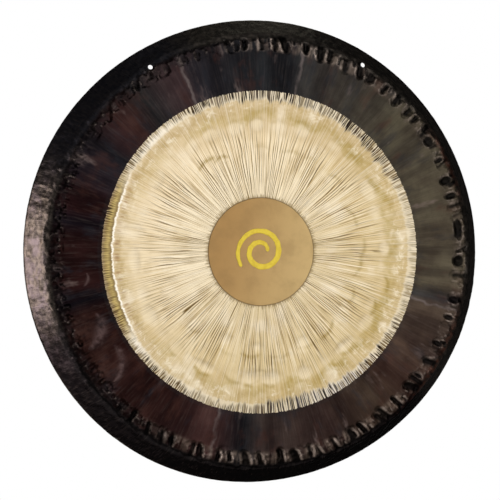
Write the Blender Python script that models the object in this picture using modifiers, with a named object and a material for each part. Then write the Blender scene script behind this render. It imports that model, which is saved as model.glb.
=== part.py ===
"""Tam tam gong: one hammered metal sheet with its rim turned back, a lacquered disc and a brushed sign.

The gong hangs upright. Its face looks along -Y, its rim is turned back along +Y, and +Z is up. The origin is
midway between the two suspension holes, at the middle of the sheet's thickness there.
"""

import math

import bpy

# Driving dimensions, in metres.
RIM_RADIUS = 0.406            # outer radius at the rear edge of the rim
RIM_DEPTH = 0.064             # from the edge of the face back to the rear edge of the rim
SHEET = 0.0015                # thickness of the metal
CROWN = 0.004                 # how far the middle of the face stands in front of its edge
SHOULDER_BEND = 0.030         # radius of the bend between face and rim
RIM_LEAN = math.radians(66)   # how far the rim is turned back from the face
HOLE_DIAMETER = 0.008
HOLE_RING_RADIUS = 0.3725     # distance from the gong's middle to each suspension hole
HOLE_ANGLE = math.radians(30.4)  # each hole's angle from the top of the gong
DISC_RADIUS = 0.094
FILM = 0.0004                 # thickness of the lacquer, and of the paint
GAP = 0.0003                  # space between touching solids
SIGN_INNER = 0.011            # centre line of the sign's spiral, at its inner end
SIGN_OUTER = 0.043            # and at its outer end
SIGN_TURNS = 1.6
SIGN_STROKE = 0.0095          # width of the brush stroke

# How finely the curved shapes are divided.
TURN_STEPS = 96               # round the gong
FACE_STEPS = 6                # along the crown of the face
BEND_STEPS = 8                # round the shoulder
HOLE_STEPS = 32
SIGN_STEPS = 56               # along the spiral
SIGN_TIP_STEPS = 6            # round each end of the stroke

# Worked out from the dimensions above.
BEND_TO_REAR = SHOULDER_BEND * (1 - math.cos(RIM_LEAN))
WALL_DEPTH = RIM_DEPTH - BEND_TO_REAR
FACE_RADIUS = RIM_RADIUS - WALL_DEPTH / math.tan(RIM_LEAN) - SHOULDER_BEND * math.sin(RIM_LEAN)
CROWN_RADIUS = (FACE_RADIUS ** 2 + CROWN ** 2) / (2 * CROWN)
HOLE_SIDE = HOLE_RING_RADIUS * math.sin(HOLE_ANGLE)
HOLE_RISE = HOLE_RING_RADIUS * math.cos(HOLE_ANGLE)
HOLE_LEAN = math.asin((HOLE_RING_RADIUS - FACE_RADIUS) / SHOULDER_BEND)
HOLE_DEPTH = SHOULDER_BEND * (1 - math.cos(HOLE_LEAN)) + SHEET / 2 / math.cos(HOLE_LEAN)


def clear_scene():
    for old in list(bpy.data.objects):
        bpy.data.objects.remove(old, do_unlink=True)


def new_collection(name):
    collection = bpy.data.collections.new(name)
    bpy.context.scene.collection.children.link(collection)
    return collection


def new_material(name, colour, metallic, roughness):
    material = bpy.data.materials.new(name)
    material.use_nodes = True
    shader = material.node_tree.nodes["Principled BSDF"]
    shader.inputs["Base Color"].default_value = (*colour, 1)
    shader.inputs["Metallic"].default_value = metallic
    shader.inputs["Roughness"].default_value = roughness
    material.diffuse_color = (*colour, 1)
    return material


def crown_height(radius):
    """Height of the front surface over the edge of the face, within the crowned face."""
    return math.sqrt(CROWN_RADIUS ** 2 - radius ** 2) - (CROWN_RADIUS - CROWN)


def front_line():
    """(radius, height, lean) down the front of the sheet, from the middle to the end of the shoulder.

    Height 0 is the edge of the face. Lean is how far the surface has turned away from the face.
    """
    points = []
    for step in range(FACE_STEPS + 1):
        radius = FACE_RADIUS * step / FACE_STEPS
        points.append((radius, crown_height(radius), math.asin(radius / CROWN_RADIUS)))
    first_lean = points[-1][2]
    for step in range(1, BEND_STEPS + 1):
        lean = first_lean + (RIM_LEAN - first_lean) * step / BEND_STEPS
        radius = FACE_RADIUS + SHOULDER_BEND * (math.sin(lean) - math.sin(first_lean))
        height = SHOULDER_BEND * (math.cos(lean) - math.cos(first_lean))
        points.append((radius, height, lean))
    return points


def sheet_profile():
    """Closed outline of the sheet: down its front, across the rear edge of the rim, and back up inside."""
    front = front_line()
    outer = [(radius, height) for radius, height, lean in front]
    inner = [(radius - SHEET * math.sin(lean), height - SHEET * math.cos(lean)) for radius, height, lean in front]
    rear_edge = [(RIM_RADIUS, -RIM_DEPTH), (RIM_RADIUS - SHEET / math.sin(RIM_LEAN), -RIM_DEPTH)]
    return outer + rear_edge + inner[::-1]


def disc_profile():
    """Closed outline of the lacquer film, which follows the crown of the face."""
    radii = [DISC_RADIUS * step / FACE_STEPS for step in range(FACE_STEPS + 1)]
    top = [(radius, crown_height(radius) + GAP + FILM) for radius in radii]
    bottom = [(radius, crown_height(radius) + GAP) for radius in reversed(radii)]
    return top + bottom


def turned(name, profile, material, collection):
    """A shape turned about its own Z axis from a profile of (radius, height), and laid with that axis along -Y."""
    mesh = bpy.data.meshes.new(name)
    corners = [(radius, 0, height) for radius, height in profile]
    mesh.from_pydata(corners, [(i, i + 1) for i in range(len(corners) - 1)], [])
    piece = bpy.data.objects.new(name, mesh)
    piece.data.materials.append(material)
    collection.objects.link(piece)
    screw = piece.modifiers.new("turn", "SCREW")
    screw.steps = TURN_STEPS
    screw.render_steps = TURN_STEPS
    screw.use_merge_vertices = True
    screw.merge_threshold = 0.00001
    screw.use_smooth_shade = True
    piece.rotation_euler.x = math.radians(90)
    piece.location = (0, -HOLE_DEPTH, -HOLE_RISE)
    return piece


def hole_cutter(name, side, collection):
    bpy.ops.mesh.primitive_cylinder_add(
        vertices=HOLE_STEPS,
        radius=HOLE_DIAMETER / 2,
        depth=20 * SHEET,
        location=(side * HOLE_SIDE, 0, 0),
        rotation=(math.radians(90), 0, 0),
    )
    cutter = bpy.context.object
    cutter.name = name
    for old in list(cutter.users_collection):
        old.objects.unlink(cutter)
    collection.objects.link(cutter)
    cutter.hide_render = True
    cutter.display_type = "WIRE"
    return cutter


def cut(piece, cutter):
    boolean = piece.modifiers.new(cutter.name, "BOOLEAN")
    boolean.operation = "DIFFERENCE"
    boolean.object = cutter
    boolean.solver = "EXACT"


def spiral_point(share):
    """(x, z, heading) on the sign's centre line, from its inner end (share 0) to its outer end (share 1)."""
    turn = 2 * math.pi * SIGN_TURNS * share
    radius = SIGN_INNER + (SIGN_OUTER - SIGN_INNER) * share
    growth = (SIGN_OUTER - SIGN_INNER) / (2 * math.pi * SIGN_TURNS)
    heading = turn + math.atan2(radius, growth)
    return radius * math.cos(turn), radius * math.sin(turn), heading


def stroke_width(share):
    """The brush lands narrow, spreads to its full width and lifts off narrow."""
    return SIGN_STROKE * (0.55 + 0.45 * math.sin(math.pi * share) ** 0.5)


def sign_outline():
    """Closed outline of the brush stroke: out along one side, round the tip, back along the other, round the start."""
    left, right = [], []
    for step in range(SIGN_STEPS + 1):
        share = step / SIGN_STEPS
        x, z, heading = spiral_point(share)
        half = stroke_width(share) / 2
        left.append((x - half * math.sin(heading), z + half * math.cos(heading)))
        right.append((x + half * math.sin(heading), z - half * math.cos(heading)))
    return right + tip(1, -90) + left[::-1] + tip(0, 90)


def tip(share, first_degrees):
    """The points of the half circle that rounds one end of the stroke."""
    x, z, heading = spiral_point(share)
    half = stroke_width(share) / 2
    points = []
    for step in range(1, SIGN_TIP_STEPS):
        angle = heading + math.radians(first_degrees + 180 * step / SIGN_TIP_STEPS)
        points.append((x + half * math.cos(angle), z + half * math.sin(angle)))
    return points


def make_sign(material, collection):
    """The stroke is a filled flat outline, extruded to both sides by half its thickness and stood upright."""
    curve = bpy.data.curves.new("painted_sign", "CURVE")
    curve.dimensions = "2D"
    curve.fill_mode = "BOTH"
    curve.extrude = FILM / 2
    outline = sign_outline()
    spline = curve.splines.new("POLY")
    spline.points.add(len(outline) - 1)
    for point, (x, z) in zip(spline.points, outline):
        point.co = (x, z, 0, 1)
    spline.use_cyclic_u = True
    sign = bpy.data.objects.new("painted_sign", curve)
    curve.materials.append(material)
    collection.objects.link(sign)
    sign.rotation_euler.x = math.radians(90)
    front_of_disc = CROWN + GAP + FILM
    sign.location = (0, -HOLE_DEPTH - front_of_disc - GAP - FILM / 2, -HOLE_RISE)
    return sign


def make_plate(material, collection, cutters):
    plate = turned("gong_plate", sheet_profile(), material, collection)
    for name, side in (("left_hole_cutter", -1), ("right_hole_cutter", 1)):
        cut(plate, hole_cutter(name, side, cutters))
    return plate


def main():
    clear_scene()
    parts = new_collection("tam_tam_gong")
    cutters = new_collection("cutters")
    nickel_silver = new_material("nickel_silver", (0.42, 0.36, 0.27), 1.0, 0.35)
    tan_lacquer = new_material("tan_lacquer", (0.40, 0.25, 0.11), 0.3, 0.45)
    yellow_paint = new_material("yellow_paint", (0.72, 0.55, 0.03), 0.0, 0.4)
    make_plate(nickel_silver, parts, cutters)
    turned("centre_disc", disc_profile(), tan_lacquer, parts)
    make_sign(yellow_paint, parts)


main()
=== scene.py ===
"""A tam tam gong: a hammered plate with a scraped bright zone, dark oxide, a lacquered centre and a sign.

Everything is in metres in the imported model's frame. The gong's axis runs along +Y, and its face looks to
-Y. A place on the plate is given by how far it lies along the sheet from the centre, and by its turn: the
angle clockwise from the top as the player sees it.
"""

import math

import bpy
import numpy as np
from mathutils import Matrix, Vector


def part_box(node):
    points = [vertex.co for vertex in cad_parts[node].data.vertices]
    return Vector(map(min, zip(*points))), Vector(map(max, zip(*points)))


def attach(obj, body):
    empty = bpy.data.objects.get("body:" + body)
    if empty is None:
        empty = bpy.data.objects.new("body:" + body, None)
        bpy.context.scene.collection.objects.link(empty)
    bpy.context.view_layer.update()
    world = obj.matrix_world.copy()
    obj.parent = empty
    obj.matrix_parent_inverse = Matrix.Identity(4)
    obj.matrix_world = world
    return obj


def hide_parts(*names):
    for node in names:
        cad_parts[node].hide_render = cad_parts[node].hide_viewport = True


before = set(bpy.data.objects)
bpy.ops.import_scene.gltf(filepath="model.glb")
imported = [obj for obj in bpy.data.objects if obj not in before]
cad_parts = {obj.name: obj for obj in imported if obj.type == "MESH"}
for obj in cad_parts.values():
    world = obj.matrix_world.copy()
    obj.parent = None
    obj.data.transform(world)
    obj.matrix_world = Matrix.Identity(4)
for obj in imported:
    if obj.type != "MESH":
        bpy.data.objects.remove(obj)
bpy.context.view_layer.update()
PLATE_LOW, PLATE_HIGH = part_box("gong_plate")

# The plate. Its shoulder bend is tighter than the CAD's and its rim leans back less.
CENTRE_Z = (PLATE_LOW.z + PLATE_HIGH.z) / 2
LARGEST_RADIUS = (PLATE_HIGH.z - PLATE_LOW.z) / 2
REAR_Y = PLATE_HIGH.y
SHEET = 0.0015
CROWN = 0.004
FACE_EDGE_Y = PLATE_LOW.y + CROWN
FACE_RADIUS = 0.358
BEND_RADIUS = 0.024
RIM_LEAN = math.radians(63.9)
WALL = (REAR_Y - FACE_EDGE_Y - BEND_RADIUS * (1 - math.cos(RIM_LEAN))) / math.sin(RIM_LEAN)
BEND = BEND_RADIUS * RIM_LEAN
RIM_END = FACE_RADIUS + BEND + WALL
HOLE_RADIUS = 0.004
HOLE_RING_RADIUS = 0.3725
HOLE_TURN = math.radians(30.4)
HOLE_ALONG = FACE_RADIUS + BEND_RADIUS * math.asin((HOLE_RING_RADIUS - FACE_RADIUS) / BEND_RADIUS)

# The painted and polished zones
DISC_RADIUS = 0.094
BRIGHT_RADIUS = 0.2786
FILM = 0.0004
GAP = 0.0003
SIGN_INNER = 0.011
SIGN_OUTER = 0.043
SIGN_TURNS = 1.6
SIGN_STROKE = 0.0095

# Where one piece of the plate ends and the next begins, in metres along the sheet
FACE_END = 0.286
ANNULUS_END = 0.338

# Columns of the front skin's mesh in each piece of the plate; the back skin has half as many
FACE_COLUMNS = 720
ANNULUS_COLUMNS = 1440
RIM_COLUMNS = 1680
DISC_COLUMNS = 720

FLOOR_Z = CENTRE_Z - 1.01
FLOOR_RADIUS = 3.5
FLOOR_SIDES = 96

TAU = 2 * math.pi

# Single deep blows at the right and the upper left: turn in degrees, way along the sheet, half width,
# half length and depth
BROAD_CREASES = (
    (58.5, 0.3575, 0.0150, 0.0105, 0.0036),
    (64.5, 0.3580, 0.0060, 0.0110, 0.0030),
    (70.5, 0.3550, 0.0100, 0.0140, 0.0040),
    (75.0, 0.3550, 0.0070, 0.0145, 0.0036),
    (84.5, 0.3570, 0.0220, 0.0090, 0.0040),
    (93.6, 0.3555, 0.0135, 0.0125, 0.0040),
    (104.6, 0.3560, 0.0090, 0.0130, 0.0034),
    (109.8, 0.3565, 0.0060, 0.0120, 0.0034),
    (117.8, 0.3560, 0.0065, 0.0120, 0.0034),
    (128.4, 0.3570, 0.0050, 0.0110, 0.0030),
    (323.4, 0.3570, 0.0065, 0.0120, 0.0022),
    (328.6, 0.3565, 0.0095, 0.0120, 0.0024),
    (333.2, 0.3575, 0.0070, 0.0115, 0.0022),
    (338.6, 0.3570, 0.0085, 0.0115, 0.0024),
    (342.6, 0.3570, 0.0065, 0.0120, 0.0022),
    (354.0, 0.3575, 0.0080, 0.0105, 0.0022),
)

# Crescents in the oxide: turn in degrees, way along the sheet, radius, start and end of the arc in degrees,
# and width
CURLS = (
    (236.6, 0.338, 0.038, 176, 295, 0.0070),
    (248.4, 0.342, 0.038, 176, 295, 0.0095),
    (263.0, 0.322, 0.017, 200, 290, 0.0024),
)


# ---------------------------------------------------------------- shape of the sheet


def smooth(low, high, value):
    """Runs smoothly from 0 to 1 as the value goes from low to high."""
    share = np.clip((value - low) / (high - low), 0, 1)
    return share * share * (3 - 2 * share)


def cells(grid, row, column):
    """Value noise read from a grid of numbers; the columns close round."""
    row = np.clip(row, 0, grid.shape[0] - 1.001)
    top, left = np.floor(row).astype(int), np.floor(column).astype(int)
    down, across = smooth(0, 1, row - top), smooth(0, 1, column - left)
    left, right = left % grid.shape[1], (left + 1) % grid.shape[1]
    upper = grid[top, left] * (1 - across) + grid[top, right] * across
    lower = grid[top + 1, left] * (1 - across) + grid[top + 1, right] * across
    return upper * (1 - down) + lower * down


def ring_noise(along, turn, seed, around, step):
    """Noise from -1 to 1 that closes round the gong: this many cells a turn, and one each step outward."""
    grid = np.random.default_rng(seed).uniform(-1, 1, (int(0.5 / step) + 3, around))
    return cells(grid, along / step, turn / TAU * around)


def plane_noise(along, turn, seed, cell):
    """Noise from -1 to 1 on the flat of the face, in square cells of this size."""
    count = int(1.2 / cell) + 3
    grid = np.random.default_rng(seed).uniform(-1, 1, (count, count))
    x, z = along * np.sin(turn) + 0.6, along * np.cos(turn) + 0.6
    return cells(grid, z / cell, x / cell)


def ring_of(along, turn, seed, count, radius, spread):
    """Yields each place's distance aside and outward from the nearest marks of a ring, and their numbers."""
    random = np.random.default_rng(seed)
    centres = (np.arange(count) + random.uniform(-0.33, 0.33, count)) / count * TAU
    radii = radius + random.uniform(-spread, spread, count)
    nearest = np.round(turn / TAU * count).astype(int)
    for neighbour in (-1, 0, 1):
        which = (nearest + neighbour) % count
        aside = ((turn - centres[which] + math.pi) % TAU - math.pi) * radius
        yield aside, along - radii[which], which


def dimples(along, turn, seed, count, radius, width, length, depth, spread):
    """A ring of round hammer blows; depth is how far each goes down at its middle."""
    random = np.random.default_rng(seed + 1000)
    widths, lengths, depths = (
        size * random.uniform(low, 1.25, count) for size, low in ((width, 0.7), (length, 0.75), (depth, 0.3))
    )
    sunk = np.zeros_like(along)
    for aside, outward, which in ring_of(along, turn, seed, count, radius, spread):
        far = (aside / widths[which]) ** 2 + (outward / lengths[which]) ** 2
        sunk = np.maximum(sunk, depths[which] * np.clip(1 - far, 0, 1) ** 2)
    return sunk


def scoops(along, turn, seed, count, radius, width, length, depth, spread):
    """A ring of creases struck with the hammer's edge: long hollows with straight sides and round ends."""
    random = np.random.default_rng(seed + 1000)
    widths, lengths, depths = (
        size * random.uniform(low, high, count)
        for size, low, high in ((width, 0.65, 1.30), (length, 0.6, 1.3), (depth, 0.55, 1.20))
    )
    leans = random.uniform(-0.40, 0.10, count)
    sunk = np.zeros_like(along)
    for aside, outward, which in ring_of(along, turn, seed, count, radius, spread):
        beyond = outward - np.clip(outward, -lengths[which], lengths[which])
        far = np.hypot(aside - leans[which] * outward, beyond) / widths[which]
        sunk = np.maximum(sunk, depths[which] * np.clip(1 - far, 0, 1))
    return sunk


def profile(along):
    """Radius, depth and lean of the front skin before it is hammered."""
    lean = np.clip((along - FACE_RADIUS) / BEND_RADIUS, 0, RIM_LEAN)
    wall = np.maximum(along - FACE_RADIUS - BEND, 0)
    flat = np.minimum(along, FACE_RADIUS)
    radius = flat + BEND_RADIUS * np.sin(lean) + wall * math.cos(RIM_LEAN)
    depth = FACE_EDGE_Y - CROWN * (1 - (flat / FACE_RADIUS) ** 2)
    depth = depth + BEND_RADIUS * (1 - np.cos(lean)) + wall * math.sin(RIM_LEAN)
    return radius, depth, lean


def degrees_round(turn, start, full, fade, end):
    """1 between two turns in degrees and 0 outside them, changing smoothly."""
    angle = np.degrees(turn) % 360
    return smooth(start, full, angle) * (1 - smooth(fade, end, angle))


def face_marks(along, turn):
    """How deep the polished zone's hammer marks are: two rings of broad ones, and small ones between."""
    sunk = dimples(along, turn, 22, 31, 0.2200, 0.0260, 0.0180, 0.0013, 0.005)
    sunk += dimples(along, turn, 23, 23, 0.1690, 0.0230, 0.0170, 0.0009, 0.007)
    sunk += dimples(along, turn, 24, 15, 0.1280, 0.0150, 0.0150, 0.0005, 0.006)
    return sunk + dimples(along, turn, 25, 66, 0.1980, 0.0075, 0.0070, 0.0003, 0.012)


def creases(along, turn):
    """How deep the creases are where the face turns into the rim. They are shallow on the gong's left."""
    left, right = degrees_round(turn, 216, 234, 345, 357), degrees_round(turn, 46, 58, 118, 132)
    plain = 1 - 0.80 * left - 0.45 * right
    sunk = scoops(along, turn, 41, 84, 0.3605, 0.0088, 0.0080, 0.0036, 0.0030) * plain
    sunk += scoops(along, turn, 42, 80, 0.3655, 0.0040, 0.0044, 0.0016, 0.0060) * (0.4 + 0.6 * plain)
    for at_turn, at_along, width, length, depth in BROAD_CREASES:
        aside = ((turn - math.radians(at_turn) + math.pi) % TAU - math.pi) * at_along
        far = np.hypot(aside / width, (along - at_along) / length)
        sunk = np.maximum(sunk, depth * np.clip(1 - far**1.6, 0, 1))
    return sunk


def curls(along, turn):
    """Crescent marks of the hammer in the oxide at the lower left, from 0 to 1."""
    shown = np.zeros_like(along)
    for at_turn, at_along, radius, start, end, width in CURLS:
        aside = (turn % TAU - math.radians(at_turn)) * at_along
        outward = along - at_along
        way = (np.degrees(np.arctan2(outward, aside)) - start) % 360 / (end - start)
        thick = width * np.sin(np.pi * np.clip(way, 0.0, 1.0)) ** 0.7 + 1e-5
        near = np.exp(-(((np.hypot(aside, outward) - radius) / thick) ** 2))
        shown = np.maximum(shown, np.where(way < 1, near, 0))
    return shown


def smoke(along, turn):
    """Paler, browner oxide inside the two large crescents, from 0 to 1."""
    shown = np.zeros_like(along)
    for at_turn, at_along, radius, *_ in CURLS[:2]:
        aside = (turn % TAU - math.radians(at_turn)) * at_along
        away = np.hypot(aside + 0.006, along - at_along) / (0.8 * radius)
        shown = np.maximum(shown, np.exp(-(away**2)))
    return shown


def relief(along, turn):
    """How far the hammered sheet stands out of its plain profile, in metres."""
    on_face = 1 - smooth(0.330, 0.352, along)
    calm = smooth(0.045, 0.120, along)
    waves = 0.00045 * plane_noise(along, turn, 11, 0.055) + 0.00022 * plane_noise(along, turn, 12, 0.024)
    lift = waves * on_face
    lift = lift * (0.3 + 0.7 * calm) - 0.0003 * (1 - calm)
    lift -= face_marks(along, turn)
    lift -= dimples(along, turn, 26, 60, 0.305, 0.0110, 0.0160, 0.0005, 0.010)
    lift += 0.0005 * curls(along, turn)
    between = smooth(0.338, 0.350, along) * (1 - smooth(0.374, 0.384, along))
    between = between * (1 + 1.3 * degrees_round(turn, 205, 225, 325, 345))
    fold = 0.0009 * ring_noise(along, turn, 43, 200, 0.014)
    fold += 0.0006 * ring_noise(along, turn, 44, 420, 0.0055)
    lift += between * fold
    lift -= creases(along, turn)
    on_rim = smooth(0.364, 0.378, along)
    lift += on_rim * 0.00045 * ring_noise(along, turn, 51, 240, 0.018)
    lift += on_rim * 0.00030 * ring_noise(along, turn, 52, 560, 0.008)
    for hole_turn in (HOLE_TURN, -HOLE_TURN):
        aside = ((turn - hole_turn + math.pi) % TAU - math.pi) * HOLE_RING_RADIUS
        lift = lift * smooth(HOLE_RADIUS, 2.5 * HOLE_RADIUS, np.hypot(aside, along - HOLE_ALONG))
    return lift


def wear_and_glint(along, turn):
    """Raised edges of the hammering, worn bright and lightened further as painted glint, from 0 to 1."""
    step = 0.0022
    aside = step / np.maximum(along, 0.05)
    around = relief(along + step, turn) + relief(along - step, turn)
    around = around + relief(along, turn + aside) + relief(along, turn - aside)
    return np.clip((4 * relief(along, turn) - around) / 0.0022, 0, 1)


def shaded_arcs(along, turn):
    """Outer lips of the broad hammer marks, painted as olive shade, from 0 to 1. The left has none."""
    shown = np.zeros_like(along)
    broad = ((22, 31, 0.2200, 0.0155, 0.0135), (23, 21, 0.1700, 0.0150, 0.0125))
    for seed, count, radius, width, length in broad:
        random = np.random.default_rng(seed + 2000)
        strengths, sizes = random.uniform(0.25, 1.0, count), random.uniform(0.75, 1.30, count)
        leans = random.uniform(-0.35, 0.35, count)
        for aside, outward, which in ring_of(along, turn, seed, count, radius, 0.005):
            outward = outward + leans[which] * aside
            far = np.hypot(aside / (width * sizes[which]), outward / length)
            lip = np.exp(-(((far - 0.92) / 0.27) ** 2)) * smooth(0.25, 0.75, outward / length)
            shown = np.maximum(shown, lip * strengths[which])
    return shown * (1 - degrees_round(turn, 215, 235, 310, 330))


def lit_crease_sides(along, turn):
    """The sides of the creases that face clockwise, lightened as painted highlight, from 0 to 1."""
    step = 0.0020
    aside = step / np.maximum(along, 0.05)
    slope = (creases(along, turn + aside) - creases(along, turn - aside)) / (2 * step)
    return smooth(0.12, 0.34, slope) * (1 - smooth(0.0009, 0.0022, creases(along, turn)))


def crease_shade(along, turn):
    """Painted shade in the bottoms of the creases, from 0 to 1."""
    faint = 1 - 0.45 * degrees_round(turn, 216, 234, 352, 358)
    return smooth(0.0007, 0.0021, creases(along, turn)) * (1 - lit_crease_sides(along, turn)) * faint


def lit_bowls(along, turn):
    """The floors of the broad hammer marks, which painted highlight lightens, from 0 to 1."""
    return smooth(0.0002, 0.0010, face_marks(along, turn))


def out_of_round(turn):
    """The hand-beaten rim isn't a true circle."""
    wander = 0.00098 * np.cos(turn - math.radians(110.9))
    wander += 0.00105 * np.cos(2 * (turn - math.radians(70.75)))
    wander += 0.00049 * np.cos(3 * (turn + math.radians(10.6)))
    wander += 0.00087 * np.cos(4 * (turn - math.radians(22.5)))
    return wander


def skin(along, turn, lift=0.0):
    """Points on the hammered front skin, raised by lift; the back skin is one sheet's thickness behind it."""
    radius, depth, lean = profile(along)
    rise = relief(along, turn)
    rise = rise * (1 - smooth(RIM_END - 0.006, RIM_END, along) * 0.6) + lift
    radius = radius + rise * np.sin(lean) + out_of_round(turn) * smooth(0.30, 0.40, along)
    radius = np.minimum(radius, LARGEST_RADIUS - 0.0002)
    depth = np.minimum(depth - rise * np.cos(lean), REAR_Y)
    return np.stack([radius * np.sin(turn), depth, CENTRE_Z + radius * np.cos(turn)], -1)


# ---------------------------------------------------------------- meshes


MARKS = {mark.__name__: mark for mark in (wear_and_glint, shaded_arcs, lit_bowls, lit_crease_sides, crease_shade, curls, smoke)}

# Faces that meet at more than this have a sharp edge between them
SHARP = math.radians(55)


class Builder:
    """Collects points and faces of one piece."""

    def __init__(self):
        self.points = []
        self.faces = []
        self.marks = {name: [] for name in MARKS}
        self.count = 0

    def add(self, points, along=None, turn=None):
        """Adds an array of points and returns their numbers in the same arrangement."""
        flat = points.reshape(-1, 3)
        for name, mark in MARKS.items():
            values = np.zeros(len(flat)) if along is None else mark(along, turn).reshape(-1)
            self.marks[name].append(values)
        numbers = np.arange(self.count, self.count + len(flat)).reshape(points.shape[:-1])
        self.points.append(flat)
        self.count += len(flat)
        return numbers

    def quads(self, numbers, front, keep=None):
        """Faces between the rows of a grid whose columns close round."""
        near, far = numbers[:-1], numbers[1:]
        corners = [near, np.roll(near, -1, 1), np.roll(far, -1, 1), far]
        faces = np.stack(corners if front else corners[::-1], -1)
        if keep is not None:
            faces = faces[keep]
        self.faces.extend(faces.reshape(-1, 4).tolist())

    def zip(self, first, first_turns, second, second_turns):
        """A strip of triangles between two closed loops that may have different counts."""
        first_turns = np.append(first_turns, first_turns[0] + TAU)
        second_turns = np.append(second_turns, second_turns[0] + TAU)
        i = j = 0
        while i < len(first) or j < len(second):
            a, b = first[i % len(first)], second[j % len(second)]
            if j == len(second) or (i < len(first) and first_turns[i + 1] <= second_turns[j + 1]):
                i += 1
                self.faces.append([a, first[i % len(first)], b])
            else:
                j += 1
                self.faces.append([a, second[j % len(second)], b])

    def make(self, name):
        mesh = bpy.data.meshes.new(name)
        mesh.from_pydata(np.concatenate(self.points).tolist(), [], self.faces)
        for mark, values in self.marks.items():
            attribute = mesh.attributes.new(mark, "FLOAT", "POINT")
            attribute.data.foreach_set("value", np.concatenate(values).astype(np.float32))
        mesh.shade_smooth()
        mesh.set_sharp_from_angle(angle=SHARP)
        piece = bpy.data.objects.new(name, mesh)
        bpy.context.scene.collection.objects.link(piece)
        return piece


def turns_of(columns):
    return np.arange(columns) / columns * TAU


def sheet_piece(name, front_rows, back_rows, columns, finish, back_finish, holes=()):
    """A ring of the plate, or its middle where the first row is 0: front and back skins and cut edges."""
    build = Builder()
    loops = {}
    ends_at = []
    for side, rows, count, lift in (
        ("front", front_rows, columns, 0.0),
        ("back", back_rows, columns // 2, -SHEET),
    ):
        front = side == "front"
        turns = turns_of(count)
        middle = rows[0] == 0
        rings = rows[1:] if middle else rows
        along, turn = np.meshgrid(rings, turns, indexing="ij")
        numbers = build.add(skin(along, turn, lift), along, turn)
        keep = np.ones((len(rings) - 1, count), bool)
        loops[side] = []
        for hole_turn in holes:
            loops[side].append(open_hole(build, numbers, keep, rings, turns, hole_turn, lift, front))
        build.quads(numbers, front, keep)
        if middle:
            centre = build.add(skin(np.zeros(1), np.zeros(1), lift))[0]
            for k in range(count):
                ends = [numbers[0, k], numbers[0, (k + 1) % count]]
                build.faces.append([centre] + (ends[::-1] if front else ends))
        loops[side].append((numbers[0], numbers[-1], turns, middle))
        ends_at.append(len(build.faces))
    near_front, far_front, front_turns, middle = loops["front"].pop()
    near_back, far_back, back_turns, middle = loops["back"].pop()
    build.zip(far_back, back_turns, far_front, front_turns)
    if not middle:
        build.zip(near_front, front_turns, near_back, back_turns)
    for (front_loop, front_angles), (back_loop, back_angles) in zip(loops["front"], loops["back"]):
        build.zip(back_loop, back_angles, front_loop, front_angles)
    piece = build.make(name)
    piece.data.materials.append(finish)
    piece.data.materials.append(back_finish)
    number = np.arange(len(build.faces))
    behind = (number >= ends_at[0]) & (number < ends_at[1])
    piece.data.polygons.foreach_set("material_index", behind.astype(np.int32))
    piece.data.update()
    return piece


def open_hole(build, numbers, keep, rings, turns, hole_turn, lift, front):
    """Takes a block of faces out of the grid, and fills it up to a round hole. Returns the hole's edge."""
    margin = 1.9 * HOLE_RADIUS
    rows = np.flatnonzero(np.abs(rings - HOLE_ALONG) < margin)
    columns = np.flatnonzero(np.abs(turns - hole_turn % TAU) * HOLE_RING_RADIUS < margin)
    top, bottom, left, right = rows[0] - 1, rows[-1] + 1, columns[0] - 1, columns[-1] + 1
    keep[top:bottom, left:right] = False
    walk = [(top, c) for c in range(left, right)] + [(r, right) for r in range(top, bottom)]
    walk += [(bottom, c) for c in range(right, left, -1)] + [(r, left) for r in range(bottom, top, -1)]
    edge = np.array([numbers[r, c] for r, c in walk])
    radius, _, lean = profile(rings[[r for r, c in walk]])
    flat = radius + lift * np.sin(lean)
    turn = np.array([turns[c] for r, c in walk])
    centre = HOLE_RING_RADIUS * np.array([math.sin(hole_turn), math.cos(hole_turn)])
    spots = np.stack([flat * np.sin(turn), flat * np.cos(turn)], -1) - centre
    angles = np.arctan2(spots[:, 1], spots[:, 0])
    order = np.argsort(angles)
    edge, spots, angles = edge[order], spots[order], angles[order]
    round_spots = HOLE_RADIUS * np.stack([np.cos(angles), np.sin(angles)], -1)
    previous = edge
    for share in (0.4, 0.75, 1.0):
        place = centre + spots * (1 - share) + round_spots * share
        radius = np.hypot(place[:, 0], place[:, 1])
        bend = np.arcsin(np.clip((radius - FACE_RADIUS) / (BEND_RADIUS + lift), 0, 1))
        along = np.where(radius < FACE_RADIUS, radius, FACE_RADIUS + BEND_RADIUS * bend)
        turn = np.arctan2(place[:, 0], place[:, 1])
        ring = build.add(skin(along, turn, lift), along, turn)
        for k in range(len(ring)):
            n = (k + 1) % len(ring)
            face = [previous[k], previous[n], ring[n], ring[k]]
            build.faces.append([int(v) for v in (face if front else face[::-1])])
        previous = ring
    return previous, angles


def on_face(x, z, lift):
    """Points over the flat of the plate, x and z from the gong's centre, this far above the hammered skin."""
    return skin(np.hypot(x, z), np.arctan2(x, z), lift)


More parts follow.
